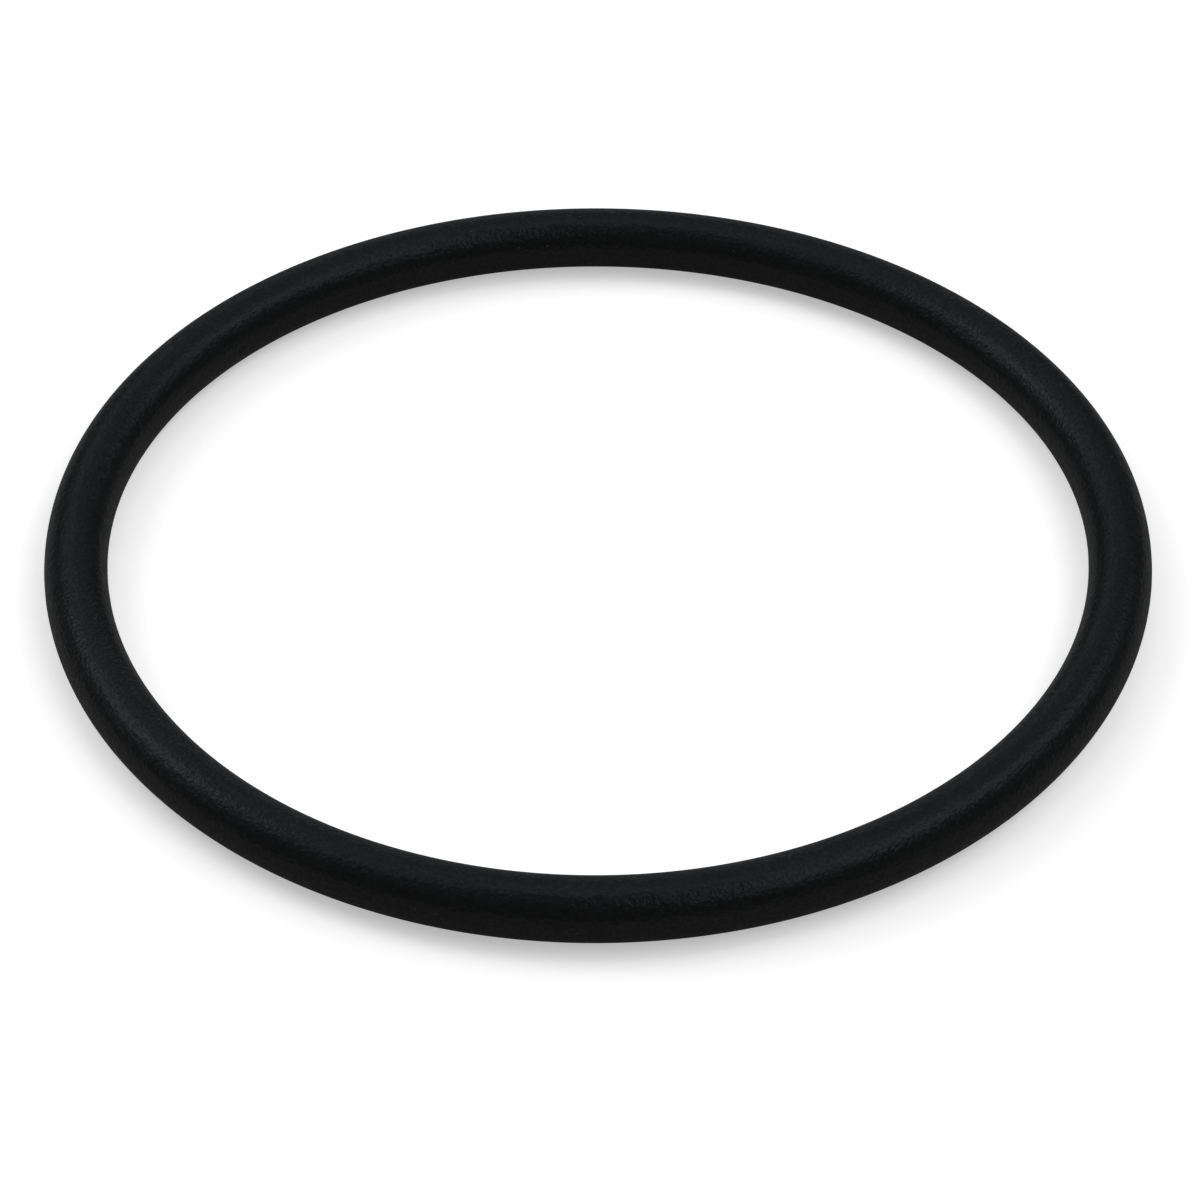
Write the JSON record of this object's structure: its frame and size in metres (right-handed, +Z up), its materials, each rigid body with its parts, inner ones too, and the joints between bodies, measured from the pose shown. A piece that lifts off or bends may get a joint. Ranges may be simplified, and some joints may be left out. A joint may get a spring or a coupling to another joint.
{
  "type": "rubber o-ring",
  "caption": "Round ring of solid rubber with a circular cross-section, lying flat, used as a static or sliding seal in a groove.",
  "frame": {"origin": "middle of the ring's footprint, on the surface it lies on", "axes": "+Z up along the ring's own axis; the ring is the same all round, so +X and +Y are free"},
  "size_m": [0.088, 0.088, 0.005],
  "materials": {
    "rubber": "moulded black nitrile rubber, matte with a soft satin sheen"
  },
  "bodies": {
    "root": {"o_ring": "rubber"}
  },
  "joints": []
}
